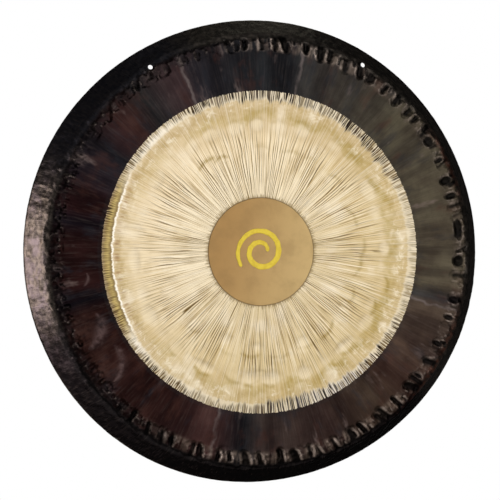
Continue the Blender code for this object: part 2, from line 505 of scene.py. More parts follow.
def make_disc():
    """The lacquer film, with an edge cut in by hand."""
    turns = turns_of(DISC_COLUMNS)
    edge = DISC_RADIUS - 0.0009 + 0.00035 * ring_noise(turns * 0, turns, 61, 60, 0.1)
    edge = edge + 0.00015 * ring_noise(turns * 0, turns, 62, 240, 0.1)
    shares = np.concatenate([np.linspace(0.03, 0.985, 34), [0.993, 0.998, 1.0]])
    along = shares[:, None] * edge[None, :]
    turn = np.broadcast_to(turns, along.shape)
    crest = np.sqrt(np.clip(1 - smooth(0.985, 1.0, shares) ** 2, 0, 1))
    build = Builder()
    top = build.add(skin(along, turn, GAP + FILM * (0.15 + 0.85 * crest[:, None])))
    build.quads(top, True)
    low_along, low_turn = along[[0, -1]], turn[[0, -1]]
    bottom = build.add(skin(low_along, low_turn, GAP / 2))
    build.quads(bottom, False)
    build.zip(bottom[-1], turns, top[-1], turns)
    for numbers, lift, front in ((top[0], GAP + FILM, True), (bottom[0], GAP / 2, False)):
        centre = build.add(skin(np.zeros(1), np.zeros(1), lift))[0]
        for k in range(DISC_COLUMNS):
            ends = [numbers[k], numbers[(k + 1) % DISC_COLUMNS]]
            build.faces.append([centre] + (ends[::-1] if front else ends))
    return build.make("lacquer_disc")


def make_sign():
    """One loaded brush stroke: thick in the middle, thin at its edges, wobbling a little as a hand does."""
    steps, ribs = 420, 13
    count = np.arange(steps)
    share = np.linspace(0, 1, steps)
    turn = TAU * SIGN_TURNS * share
    radius = SIGN_INNER + (SIGN_OUTER - SIGN_INNER) * share
    growth = (SIGN_OUTER - SIGN_INNER) / (TAU * SIGN_TURNS)
    heading = turn + np.arctan2(radius, growth)
    stroke = SIGN_STROKE * (0.55 + 0.45 * np.sin(np.pi * share) ** 0.5)
    walked = np.concatenate([[0], np.cumsum(np.hypot(np.diff(radius), radius[1:] * np.diff(turn)))])
    to_end = np.minimum(walked, walked[-1] - walked)
    round_tip = np.sqrt(np.clip(1 - np.clip(1 - to_end / (stroke / 2), 0, 1) ** 2, 0.0004, 1))
    random = np.random.default_rng(71)
    wobble = np.interp(count, np.arange(0, steps + 7, 7), random.uniform(-1, 1, steps // 7 + 1))
    fray = np.interp(count, np.arange(0, steps + 3, 3), random.uniform(-1, 1, steps // 3 + 1))
    half = (stroke / 2 + 0.00035 * wobble + 0.00012 * fray) * round_tip
    shift = 0.0003 * np.roll(wobble, 11)
    across = np.linspace(-1, 1, ribs)
    offset = half[:, None] * across[None, :] + shift[:, None]
    x = (radius * np.cos(turn))[:, None] + offset * -np.sin(heading)[:, None]
    z = (radius * np.sin(turn))[:, None] + offset * np.cos(heading)[:, None]
    base = 2 * GAP + FILM
    crest = np.sqrt(np.clip(1 - across**4, 0, 1))[None, :] * round_tip[:, None]
    ridge = 1 + 0.12 * np.sin(across * 14)[None, :] * np.cos(across * 1.5)[None, :]
    build = Builder()
    top = build.add(on_face(x, z, base + FILM * (0.1 + 0.9 * crest * ridge)))
    bottom = build.add(on_face(x[:, [0, -1]], z[:, [0, -1]], base))
    sides = []
    for i in range(steps - 1):
        for k in range(ribs - 1):
            sides.append((top[i, k], top[i, k + 1], top[i + 1, k + 1], top[i + 1, k]))
        sides.append((bottom[i, 1], bottom[i, 0], bottom[i + 1, 0], bottom[i + 1, 1]))
        sides.append((bottom[i, 0], top[i, 0], top[i + 1, 0], bottom[i + 1, 0]))
        sides.append((top[i, -1], bottom[i, 1], bottom[i + 1, 1], top[i + 1, -1]))
    build.faces.extend([int(v) for v in side] for side in sides)
    for i, flip in ((0, False), (steps - 1, True)):
        loop = [int(v) for v in (*bottom[i, :2], *top[i, ::-1])]
        build.faces.append(loop[::-1] if flip else loop)
    return build.make("brush_sign")


# ---------------------------------------------------------------- materials

# Stretches of the gong, as shares of a turn: where each starts, is full, starts to fade, and ends
LOWER_STRETCH = (0.34, 0.39, 0.53, 0.62)
LEFT_STRETCH = (0.55, 0.60, 0.96, 0.99)
CRUMPLED_STRETCH = (0.58, 0.64, 0.86, 0.93)
BLUED_STRETCH = (0.790, 0.835, 0.925, 0.965)
SHADED_BOTTOM_STRETCH = (0.34, 0.38, 0.675, 0.715)
SHEEN_STRETCH = (0.640, 0.705, 0.785, 0.850)
GOLD_REFLECTION_STRETCH = (0.650, 0.682, 0.805, 0.850)

# Belts in the same way, in metres along the sheet
CREASE_BELT = (0.338, 0.348, 0.366, 0.376)
WORN_BELT = (0.338, 0.348, 0.384, 0.394)

# Pale scratches across the dark oxide, as shares of a turn
SCRATCHES = (0.037, 0.299, 0.543, 0.9365)

# Heat tints of the dark oxide on the face, lighter on the right as painted sheen, clockwise from the top: the
# share of a turn, and the tint
OXIDE_TINTS_AND_SHEEN = (
    (0.000, (34, 35, 37)),
    (0.033, (30, 31, 33)),
    (0.042, (50, 48, 46)),
    (0.085, (68, 63, 54)),
    (0.115, (69, 64, 53)),
    (0.128, (76, 70, 56)),
    (0.285, (84, 76, 61)),
    (0.292, (60, 60, 60)),
    (0.300, (84, 71, 59)),
    (0.370, (70, 51, 42)),
    (0.395, (64, 52, 42)),
    (0.440, (51, 38, 34)),
    (0.500, (56, 46, 42)),
    (0.520, (32, 33, 35)),
    (0.545, (66, 45, 42)),
    (0.600, (47, 28, 25)),
    (0.660, (34, 17, 15)),
    (0.700, (32, 17, 16)),
    (0.711, (19, 17, 22)),
    (0.722, (38, 19, 18)),
    (0.768, (37, 19, 18)),
    (0.779, (21, 19, 25)),
    (0.790, (40, 20, 20)),
    (0.806, (38, 21, 22)),
    (0.818, (44, 36, 41)),
    (0.842, (20, 18, 22)),
    (0.858, (46, 29, 29)),
    (0.876, (54, 34, 31)),
    (0.895, (36, 36, 36)),
    (0.928, (67, 51, 51)),
    (0.942, (34, 31, 35)),
    (1.000, (30, 31, 33)),
)

# Tints across the painted golden reflection at the left of the bright zone, from its painted crest highlight
# outward
GOLD_REFLECTION_BAND = 0.018
GOLD_REFLECTION_TINTS = (
    (0.00, (112, 92, 50)),
    (0.20, (146, 122, 62)),
    (0.42, (200, 174, 100)),
    (0.62, (186, 160, 92)),
    (0.82, (166, 140, 96)),
    (1.00, (178, 156, 120)),
)

# The comb: scraped strokes in the bright zone, and teeth at its edge, both in strokes a turn
COMB_STROKES = 250
COMB_TEETH = 420


def colour(red, green, blue):
    """A display colour, 0 to 255, as the linear values that shaders take."""
    linear = []
    for part in (red, green, blue):
        share = part / 255
        linear.append(share / 12.92 if share <= 0.04045 else ((share + 0.055) / 1.055) ** 2.4)
    return (*linear, 1.0)


class Nodes:
    """Adds shader nodes; each method returns the new node's output. Colours are as displayed, 0 to 255."""

    def __init__(self, name, **settings):
        self.material = bpy.data.materials.new(name)
        self.material.use_nodes = True
        self.tree = self.material.node_tree
        self.tree.nodes.clear()
        self.shader = self.tree.nodes.new("ShaderNodeBsdfPrincipled")
        output = self.tree.nodes.new("ShaderNodeOutputMaterial")
        self.tree.links.new(self.shader.outputs[0], output.inputs[0])
        for socket, value in settings.items():
            self.shader.inputs[socket.replace("_", " ")].default_value = value
        self.place()

    def place(self):
        """Radius, way along the sheet, direction from the axis, and turn from 0 at the top to 1."""
        self.spot = self.add("ShaderNodeTexCoord", output=3)
        self.centred = self.vector("SUBTRACT", self.spot, (0.0, 0.0, CENTRE_Z))
        split = self.tree.nodes.new("ShaderNodeSeparateXYZ")
        self.put(split.inputs[0], self.centred)
        self.x, self.depth, self.z = split.outputs
        flat = self.add("ShaderNodeCombineXYZ", (self.x, 0.0, self.z))
        square = self.plus(self.times(self.x, self.x), self.times(self.z, self.z))
        self.radius = self.math("SQRT", square)
        self.along = self.plus(self.radius, self.depth)
        self.direction = self.vector("NORMALIZE", flat)
        turn = self.math("DIVIDE", self.math("ARCTAN2", self.x, self.z), TAU)
        self.turn = self.math("FRACT", self.plus(turn, 1.0))

    def put(self, socket, value):
        if isinstance(value, bpy.types.NodeSocket):
            self.tree.links.new(value, socket)
        else:
            socket.default_value = value

    def add(self, kind, values=(), output=0, **settings):
        node = self.tree.nodes.new(kind)
        for name, value in settings.items():
            setattr(node, name, value)
        for number, value in enumerate(values):
            if value is not None:
                self.put(node.inputs[number], value)
        return node.outputs[output]

    def math(self, operation, *values, clamp=False):
        return self.add("ShaderNodeMath", values, operation=operation, use_clamp=clamp)

    def times(self, *values, clamp=False):
        return self.math("MULTIPLY", *values, clamp=clamp)

    def plus(self, *values, clamp=False):
        return self.math("ADD", *values, clamp=clamp)

    def minus(self, *values):
        return self.math("SUBTRACT", *values)

    def line(self, value, slope, start, clamp=False):
        """value * slope + start."""
        return self.math("MULTIPLY_ADD", value, slope, start, clamp=clamp)

    def vector(self, operation, *values):
        return self.add("ShaderNodeVectorMath", values, operation=operation)

    def span(self, value, low, high, first=0.0, last=1.0):
        """Runs smoothly from first to last as the value goes from low to high."""
        values = (value, low, high, first, last)
        return self.add("ShaderNodeMapRange", values, interpolation_type="SMOOTHSTEP")

    def within(self, value, stretch):
        """1 on a stretch or belt and 0 outside it, changing smoothly."""
        start, full, fade, end = stretch
        return self.times(self.span(value, start, full), self.span(value, end, fade))

    def bump_at(self, value, middle, width):
        """1 at the middle, falling smoothly to 0 this far on both sides."""
        away = self.math("ABSOLUTE", self.minus(value, middle))
        return self.span(away, width, 0.0)

    def mix(self, share, first, second, blend="MIX"):
        shades = [colour(*shade) if isinstance(shade, tuple) else shade for shade in (first, second)]
        values = (share, *[None] * 5, *shades)
        return self.add("ShaderNodeMix", values, 2, data_type="RGBA", blend_type=blend)

    def over(self, base, shade, share, strength=None):
        """A shade laid over the base by this share, which strength scales."""
        return self.mix(share if strength is None else self.times(share, strength), base, shade)

    def dye(self, base, shade, share):
        """The base darkened by a shade that multiplies it."""
        return self.mix(share, base, self.mix(1.0, base, shade, "MULTIPLY"))

    def ramp(self, share, stops):
        node = self.tree.nodes.new("ShaderNodeValToRGB")
        while len(node.color_ramp.elements) < len(stops):
            node.color_ramp.elements.new(0.5)
        for element, (position, shade) in zip(node.color_ramp.elements, stops):
            element.position = position
            element.color = colour(*shade)
        self.put(node.inputs[0], share)
        return node.outputs[0]

    def noise(self, vector, scale=1.0, detail=2.0, roughness=0.5, distortion=0.0):
        node = self.tree.nodes.new("ShaderNodeTexNoise")
        self.put(node.inputs["Vector"], vector)
        node.inputs["Scale"].default_value = scale
        node.inputs["Detail"].default_value = detail
        node.inputs["Roughness"].default_value = roughness
        node.inputs["Distortion"].default_value = distortion
        return node.outputs[0]

    def toward(self, degrees):
        """1 on the side of the gong at this turn, 0 a quarter turn away and -1 opposite."""
        angle = math.radians(degrees)
        way = (math.sin(angle), 0.0, math.cos(angle))
        return self.add("ShaderNodeVectorMath", (self.direction, way), 1, operation="DOT_PRODUCT")

    def strokes(self, around, per_metre, detail=2.0, roughness=0.5, seed=0.0):
        """Noise drawn out along the radius: about this many cells a turn, and this many a metre outward."""
        spread = self.vector("SCALE", self.direction, None, None, around / TAU)
        outward = self.line(self.along, per_metre, seed)
        rise = self.add("ShaderNodeCombineXYZ", (0.0, outward, 0.0))
        return self.noise(self.vector("ADD", spread, rise), 1.0, detail, roughness)

    def mark(self, name):
        """One of the values that the hammering left on the mesh."""
        return self.add("ShaderNodeAttribute", output=2, attribute_name=name)

    def comb(self, count, warp, around, per_metre, seed):
        """Radial strokes at a steady pitch, this many a turn, from 0 to 1. They wander by warp radians."""
        wander = self.strokes(around, per_metre, seed=seed)
        phase = self.line(self.turn, count * TAU, self.times(wander, warp))
        return self.line(self.math("SINE", phase), 0.5, 0.5)

    def finish(self, base, rough, height, strength, distance):
        """Sets the surface, with a bump of this strength and distance in metres, and returns the material."""
        node = self.tree.nodes.new("ShaderNodeBump")
        node.inputs["Strength"].default_value = strength
        node.inputs["Distance"].default_value = distance
        self.put(node.inputs["Height"], height)
        self.put(self.shader.inputs["Base Color"], base)
        self.put(self.shader.inputs["Roughness"], rough)
        self.put(self.shader.inputs["Normal"], node.outputs[0])
        return self.material


def oxide_base(nodes):
    """Colour of the dark oxide on the face: heat tints and painted sheen on the right, with scraped streaks
    in them, and its fine strokes.
    """
    wander = nodes.strokes(22, 5, detail=3.0, seed=3.0)
    turn = nodes.line(nodes.minus(wander, 0.5), 0.016, nodes.turn)
    # The tints carry painted sheen on the right side of the gong
    tint = nodes.ramp(nodes.math("FRACT", nodes.plus(turn, 1.0)), OXIDE_TINTS_AND_SHEEN)
    cloud = nodes.noise(nodes.centred, 15.0, detail=5.0, roughness=0.62)
    tint = nodes.dye(tint, (204, 198, 201), nodes.span(cloud, 0.66, 0.36))
    band = nodes.strokes(64, 4, detail=3.0, seed=11.0)
    tint = nodes.dye(tint, (194, 191, 196), nodes.span(band, 0.62, 0.36))
    cool = nodes.span(nodes.strokes(70, 13, detail=4.0, roughness=0.6, seed=27.0), 0.52, 0.68)
    tint = nodes.over(tint, (32, 34, 39), cool, 0.40)
    warm = nodes.span(nodes.strokes(60, 15, detail=4.0, roughness=0.6, seed=28.0), 0.53, 0.70)
    tint = nodes.over(tint, (66, 40, 33), warm, 0.30)
    pale = nodes.span(nodes.strokes(64, 10, detail=4.0, roughness=0.6, seed=19.0), 0.58, 0.76)
    tint = nodes.over(tint, (120, 103, 98), pale, 0.46)
    turn = nodes.line(nodes.minus(nodes.noise(nodes.centred, 40.0), 0.5), 0.010, nodes.turn)
    patchy = nodes.span(cloud, 0.40, 0.60, 0.1, 0.55)
    for scratch in SCRATCHES:
        tint = nodes.over(tint, (108, 97, 94), nodes.bump_at(turn, scratch, 0.0022), patchy)
    hair = nodes.strokes(700, 22, detail=4.0, roughness=0.65, seed=5.0)
    tint = nodes.dye(tint, (196, 194, 194), nodes.span(hair, 0.50, 0.34, 0.0, 0.25))
    tint = nodes.over(tint, (134, 120, 112), nodes.span(hair, 0.48, 0.75), nodes.line(pale, 0.16, 0.05))
    blotches = nodes.noise(nodes.centred, 70.0, detail=4.0, roughness=0.65)
    haze = nodes.span(blotches, 0.34, 0.62, 0.1, 0.5)
    tint = nodes.over(tint, (66, 44, 38), nodes.mark("smoke"), haze)
    curl = nodes.times(nodes.mark("curls"), nodes.span(blotches, 0.36, 0.60, 0.25, 1.0))
    return nodes.over(tint, (100, 82, 80), curl, 0.44), hair


def shoulder_finish(nodes, tint, pits, lumps):
    """Colour of the shoulder: painted highlights on the creases' lands, raised edges and sides, dulled by the
    fire on the left.
    """
    creased = nodes.within(nodes.along, CREASE_BELT)
    # Painted highlight on the lands between the creases, at the top and the bottom
    top = nodes.plus(nodes.span(nodes.turn, 0.12, 0.06), nodes.span(nodes.turn, 0.985, 0.997))
    shine = nodes.plus(top, nodes.within(nodes.turn, LOWER_STRETCH), clamp=True)
    shine = nodes.line(shine, 0.20, nodes.span(nodes.turn, 0.60, 0.55, 0.0, 0.08))
    sliver = nodes.span(nodes.strokes(300, 22, seed=25.0), 0.40, 0.62)
    tint = nodes.over(tint, (140, 122, 108), nodes.times(creased, shine), sliver)
    fire = nodes.within(nodes.turn, LEFT_STRETCH)
    dulled = nodes.line(nodes.times(fire, nodes.span(pits, 0.60, 0.46, 0.45, 1.0)), -0.92, 1.0)
    fire = nodes.times(fire, nodes.span(nodes.along, 0.344, 0.352))
    tint = nodes.over(tint, (26, 22, 23), fire, nodes.span(lumps, 0.36, 0.60, 0.2, 0.7))
    # Painted glint on the raised edges of the hammering, on top of their wear
    glint = nodes.times(nodes.mark("wear_and_glint"), nodes.span(lumps, 0.42, 0.60))
    glint = nodes.times(glint, nodes.line(nodes.within(nodes.along, WORN_BELT), 0.60, 0.05))
    tint = nodes.over(tint, (158, 142, 132), glint, dulled)
    # Painted highlight on the crease sides that face clockwise, strongest at the top and bottom
    lit = nodes.times(nodes.mark("lit_crease_sides"), nodes.line(shine, 3.4, 0.10))
    lit = nodes.times(lit, nodes.span(lumps, 0.34, 0.56, 0.35, 1.0))
    return nodes.over(tint, (178, 160, 148), nodes.times(lit, creased, clamp=True))


def oxide_material():
    """Dark oxide on the plate's outer face, creases and rim."""
    nodes = Nodes("dark_oxide_front", Specular_Tint=(0.22, 0.22, 0.22, 1.0))
    tint, hair = oxide_base(nodes)
    pits = nodes.noise(nodes.spot, 520.0, detail=3.0, roughness=0.65)
    lumps = nodes.noise(nodes.spot, 95.0, detail=3.0, roughness=0.6)
    ragged = nodes.noise(nodes.spot, 32.0, detail=5.0, roughness=0.66)
    rim_hair = nodes.strokes(1300, 30, detail=3.0, roughness=0.6, seed=23.0)
    tint = shoulder_finish(nodes, tint, pits, lumps)

    shoulder = nodes.span(nodes.along, 0.362, 0.374)
    rim = nodes.mix(nodes.span(lumps, 0.4, 0.65), (54, 50, 46), (84, 77, 70))
    rim = nodes.over(rim, (40, 41, 50), nodes.within(nodes.turn, BLUED_STRETCH), 0.75)
    # Painted shade: the rim is darker toward the bottom
    shaded_bottom = nodes.within(nodes.turn, SHADED_BOTTOM_STRETCH)
    rim = nodes.over(rim, (43, 40, 41), shaded_bottom)
    rim = nodes.over(rim, (92, 84, 80), nodes.span(rim_hair, 0.5, 0.72), 0.4)
    base = nodes.mix(shoulder, tint, rim)

    right = nodes.bump_at(nodes.turn, 0.185, 0.045), nodes.bump_at(nodes.turn, 0.340, 0.075)
    rusty = nodes.times(nodes.plus(*right, clamp=True), nodes.bump_at(nodes.along, 0.373, 0.014))
    base = nodes.over(base, (96, 48, 32), nodes.times(rusty, nodes.span(lumps, 0.36, 0.60)), 0.7)
    # Painted shade, near black, in the bottoms of the creases
    base = nodes.over(base, (8, 7, 7), nodes.mark("crease_shade"), 0.92)
    # Painted shade in a ragged line along the shoulder's bend, toward the bottom
    bend_shade = nodes.line(ragged, 0.036, nodes.minus(nodes.along, 0.018))
    bend_shade = nodes.times(nodes.bump_at(bend_shade, 0.3715, 0.0075), shaded_bottom)
    base = nodes.over(base, (14, 12, 12), bend_shade, 0.85)

    left = nodes.within(nodes.turn, SHEEN_STRETCH)
    streaks = nodes.strokes(170, 14, detail=4.0, roughness=0.62, seed=31.0)
    streaky = nodes.span(streaks, 0.38, 0.62, 0.22, 1.0)
    sheen = nodes.times(nodes.span(ragged, 0.40, 0.60, 0.12, 1.0), streaky)
    inner_edge = nodes.line(ragged, 0.050, nodes.minus(nodes.along, 0.025))
    sheen = nodes.times(nodes.times(sheen, left), nodes.span(inner_edge, 0.366, 0.378))
    up_wall = nodes.line(nodes.along, 2.6, nodes.minus(ragged, 1.131))
    sheen = nodes.times(sheen, nodes.span(up_wall, 0.36, 0.52, 0.06, 1.0))
    sheen = nodes.times(sheen, nodes.span(nodes.depth, REAR_Y - 0.0020, REAR_Y - 0.0070))
    polish = nodes.line(left, 0.12, nodes.line(shaded_bottom, 0.16, 0.82))
    nodes.put(nodes.shader.inputs["Metallic"], nodes.line(sheen, -0.25, polish, clamp=True))
    base = nodes.over(base, (94, 83, 85), sheen, 0.7)

    worn = nodes.times(nodes.span(nodes.depth, REAR_Y - 0.0045, REAR_Y), nodes.span(lumps, 0.38, 0.6))
    base = nodes.over(base, (96, 88, 66), worn, nodes.line(left, -0.5, 0.5))
    shaded = nodes.times(left, nodes.span(nodes.depth, REAR_Y - 0.0050, REAR_Y - 0.0010))
    base = nodes.over(base, (16, 14, 14), shaded, 0.8)

    crumpled = nodes.within(nodes.turn, CRUMPLED_STRETCH)
    crumpled = nodes.times(nodes.bump_at(nodes.along, 0.368, 0.018), crumpled)
    rough = nodes.line(pits, 0.22, nodes.line(crumpled, 0.32, 0.22))
    height = nodes.plus(nodes.times(pits, 0.2), nodes.times(lumps, 0.8))
    height = nodes.line(hair, 0.15, height)
    height = nodes.line(nodes.times(rim_hair, shoulder), 0.7, height)
    crumple = nodes.noise(nodes.spot, 240.0, detail=4.0, roughness=0.7)
    height = nodes.line(nodes.times(crumple, nodes.bump_at(nodes.along, 0.368, 0.016)), 1.8, height)
    return nodes.finish(base, rough, height, 0.5, 0.0006)


def polished_base(nodes):
    """Colour of the scraped nickel silver inside its comb edge, with painted light and shade, and the strokes
    in it.
    """
    # Painted light: the polish is lighter toward the upper left
    lit_side = nodes.span(nodes.toward(315), -0.75, 0.95)
    base = nodes.mix(lit_side, (218, 196, 151), (238, 218, 182))
    base = nodes.dye(base, (234, 231, 224), nodes.times(nodes.span(nodes.radius, 0.190, 0.262), 0.9))
    # Painted shade on the outer part of the zone toward the top
    top_shade = nodes.times(nodes.span(nodes.radius, 0.190, 0.215), nodes.span(nodes.toward(10), 0.40, 1.0))
    base = nodes.dye(base, (237, 233, 225), top_shade)
    # Painted shade: a ring darker toward the upper left
    ring = nodes.span(nodes.toward(292), 0.30, 0.95)
    base = nodes.dye(base, (236, 232, 222), nodes.times(nodes.bump_at(nodes.radius, 0.252, 0.014), ring))
    wave = nodes.noise(nodes.centred, 28.0, detail=4.0, roughness=0.6)
    swell = nodes.line(wave, 0.060, nodes.minus(nodes.radius, 0.030))
    shade = nodes.span(nodes.toward(78), -0.55, 0.15, 0.35, 1.0)
    shade = nodes.times(nodes.bump_at(swell, 0.2365, 0.017), shade)
    broken = nodes.noise(nodes.centred, 17.0, detail=4.0, roughness=0.65)
    shade = nodes.times(shade, nodes.span(broken, 0.40, 0.58, 0.25, 1.15))
    base = nodes.dye(base, (224, 219, 184), shade)
    mottle = nodes.noise(nodes.centred, 75.0, detail=4.0, roughness=0.65, distortion=0.6)
    belt = nodes.bump_at(nodes.radius, 0.250, 0.022)
    base = nodes.over(base, (176, 150, 96), belt, nodes.span(mottle, 0.50, 0.66, 0.0, 0.55))
    base = nodes.over(base, (246, 234, 208), belt, nodes.span(mottle, 0.48, 0.34, 0.0, 0.60))
    # Painted light: lighter toward the middle, more so on the lit side
    middle = nodes.span(nodes.radius, 0.190, 0.130)
    base = nodes.over(base, (246, 230, 198), middle, nodes.span(lit_side, 0.0, 1.0, 0.25, 0.75))
    patch = nodes.noise(nodes.centred, 19.0, detail=3.0)
    base = nodes.over(base, (246, 232, 207), nodes.span(patch, 0.46, 0.30), 0.5)
    # Painted highlight in the floors of the broad hammer marks
    base = nodes.over(base, (242, 226, 196), nodes.mark("lit_bowls"), 0.45)
    base = nodes.over(base, (204, 178, 128), nodes.span(patch, 0.52, 0.72), 0.42)
    # Painted shade: olive arcs on the outer lips of the broad hammer marks
    smudge = nodes.noise(nodes.centred, 60.0, detail=3.0, roughness=0.6)
    arc = nodes.times(nodes.mark("shaded_arcs"), nodes.span(smudge, 0.30, 0.52, 0.25, 1.0))
    base = nodes.over(base, (164, 140, 78), arc, 0.85)

    inside = nodes.span(nodes.radius, 0.236, 0.184)
    fine = nodes.strokes(1100, 10, seed=2.0)
    base = nodes.over(base, (144, 113, 54), nodes.span(fine, 0.49, 0.32), nodes.line(inside, 0.45, 0.30))
    base = nodes.over(base, (252, 240, 216), nodes.span(fine, 0.52, 0.68), nodes.line(inside, 0.40, 0.30))
    clusters = nodes.span(nodes.strokes(50, 7, seed=7.0), 0.36, 0.58)
    lengths = nodes.span(nodes.strokes(520, 13, detail=1.0, seed=4.0), 0.34, 0.54)
    comb = nodes.comb(COMB_STROKES, 24.0, 60, 7, 1.0)
    line = nodes.times(nodes.span(comb, 0.60, 0.96), nodes.times(clusters, lengths))
    line = nodes.times(line, inside)
    base = nodes.over(base, (98, 73, 22), line, 0.96)
    teeth = nodes.minus(nodes.radius, nodes.times(nodes.strokes(260, 1, seed=35.0), 0.026))
    teeth = nodes.span(teeth, DISC_RADIUS - 0.008, DISC_RADIUS - 0.013)
    base = nodes.over(base, (136, 112, 66), teeth, 0.6)
    return base, comb, fine, line


def comb_gaps(nodes, torn, blotches):
    """Dark gaps between the comb's teeth, their colour, and how far the comb has started, from 0 to 1."""
    before_top = nodes.span(nodes.turn, 0.91, 0.96, 0.0, 0.6)
    cold = nodes.plus(before_top, nodes.span(nodes.turn, 0.15, 0.09, 0.0, 0.6))
    cold = nodes.plus(cold, nodes.bump_at(nodes.turn, 0.455, 0.10), clamp=True)
    reach = nodes.line(nodes.strokes(140, 3, detail=4.0, roughness=0.7, seed=13.0), -0.044, 0.2885)
    start = nodes.line(cold, -0.009, reach)
    start = nodes.line(nodes.bump_at(nodes.turn, 0.150, 0.060), -0.009, start)
    reached = nodes.span(nodes.minus(nodes.radius, start), -0.003, 0.006)
    strong = nodes.span(nodes.strokes(30, 2, seed=14.0), 0.38, 0.58, 0.55, 1.0)
    strong = nodes.times(strong, nodes.line(nodes.bump_at(nodes.turn, 0.25, 0.10), -0.72, 1.0))
    strong = nodes.line(nodes.bump_at(nodes.turn, 0.375, 0.060), 0.40, strong)
    strong = nodes.line(cold, 0.30, strong, clamp=True)
    teeth = nodes.comb(COMB_TEETH, 34.0, 130, 9, 9.0)
    gap = nodes.times(nodes.span(teeth, 0.20, 0.52), nodes.span(torn, 0.32, 0.47))
    gap = nodes.times(gap, nodes.times(reached, strong))
    gap = nodes.times(gap, nodes.line(blotches, -0.40, 1.0))
    depths = nodes.span(nodes.strokes(120, 30, seed=15.0), 0.36, 0.64)
    brown = nodes.mix(depths, (38, 26, 15), (116, 92, 56))
    tone = nodes.mix(cold, brown, nodes.mix(depths, (13, 12, 12), (72, 66, 68)))
    return gap, tone, reached


def comb_edge(nodes, base, fine):
    """Where the scraping breaks up: pale strokes, dark gaps, and on the left a painted crest highlight and
    gold reflection.
    """
    r = nodes.radius
    torn = nodes.strokes(640, 14, detail=1.5, seed=12.0)
    # The two places on the left where the painted crest highlight spreads wide
    blotches = nodes.bump_at(nodes.turn, 0.656, 0.034), nodes.bump_at(nodes.turn, 0.880, 0.048)
    blotches = nodes.plus(*blotches, clamp=True)
    gap, tone, reached = comb_gaps(nodes, torn, blotches)
    white = nodes.over(base, (230, 216, 189), reached, 0.60)
    outer = nodes.span(nodes.line(torn, 0.008, r), 0.2655, 0.2690, 0.0, 0.60)
    white = nodes.over(white, (232, 219, 194), outer)
    chill = nodes.times(nodes.bump_at(nodes.turn, 0.410, 0.070), reached)
    white = nodes.over(white, (226, 219, 212), chill, 0.7)
    # Painted highlight: the crest's white spreading into the fringe there
    patch = nodes.times(nodes.bump_at(nodes.line(torn, 0.006, r), 0.2710, 0.0085), blotches)
    white = nodes.over(white, (246, 236, 218), patch, 0.85)
    dull = nodes.times(nodes.span(fine, 0.56, 0.40), nodes.times(reached, 0.8))
    white = nodes.over(white, (150, 132, 96), dull, nodes.line(patch, -0.6, 1.0))

    # Painted reflection on the left: a gold band outside the crest
    left = nodes.within(nodes.turn, GOLD_REFLECTION_STRETCH)
    aside = nodes.math("ABSOLUTE", nodes.minus(nodes.turn, 0.745))
    bow = nodes.span(aside, 0.055, 0.14, 0.2602, 0.2690)
    jag = nodes.line(nodes.strokes(150, 0, detail=4.0, roughness=0.72, seed=33.0), 0.011, -0.0050)
    beyond = nodes.minus(r, nodes.plus(bow, jag))
    gold_reflection = nodes.ramp(nodes.math("DIVIDE", beyond, GOLD_REFLECTION_BAND), GOLD_REFLECTION_TINTS)
    gold_reflection = nodes.over(gold_reflection, (98, 80, 44), nodes.span(fine, 0.56, 0.36, 0.0, 0.55))
    white = nodes.over(white, gold_reflection, nodes.times(left, nodes.span(beyond, 0.0004, 0.0018)), 0.9)
    # Painted shade just inside the crest
    under = nodes.times(left, nodes.span(torn, 0.52, 0.38))
    under = nodes.times(nodes.bump_at(beyond, -0.0085, 0.0080), under)
    white = nodes.over(white, (166, 132, 94), under, 0.8)
    # Painted highlight: the white crest along the gold band's inner edge
    thick = nodes.line(nodes.strokes(70, 0, detail=3.0, roughness=0.7, seed=36.0), 0.0095, -0.0018)
    crest = nodes.times(nodes.bump_at(beyond, -0.0008, thick), left)
    crest = nodes.times(crest, nodes.span(torn, 0.36, 0.52, 0.30, 1.0))
    white = nodes.over(white, (255, 248, 234), crest)
    return nodes.mix(gap, white, tone), nodes.minus(gap, crest)


def bright_material():
    """The face: nickel silver scraped bright, breaking up into the oxide in a comb at its edge."""
    nodes = Nodes("brushed_nickel_silver", Metallic=0.9)
    base, comb, fine, line = polished_base(nodes)
    base, gap = comb_edge(nodes, base, fine)
    edge = nodes.line(nodes.strokes(900, 2, seed=17.0), 0.0045, BRIGHT_RADIUS - 0.0022)
    edge = nodes.line(nodes.toward(160), 0.0007, edge)
    bright = nodes.span(nodes.minus(edge, nodes.radius), -0.0005, 0.0005)
    base = nodes.mix(bright, oxide_base(nodes)[0], base)
    outline = nodes.span(nodes.minus(nodes.radius, DISC_RADIUS), 0.0010, -0.0006)
    base = nodes.over(base, (86, 70, 44), outline, 0.5)
    height = nodes.plus(nodes.times(comb, 0.5), nodes.times(fine, 0.6))
    height = nodes.line(nodes.plus(gap, line), -0.3, height)
    return nodes.finish(base, nodes.line(fine, 0.25, 0.30), height, 0.6, 0.0005)


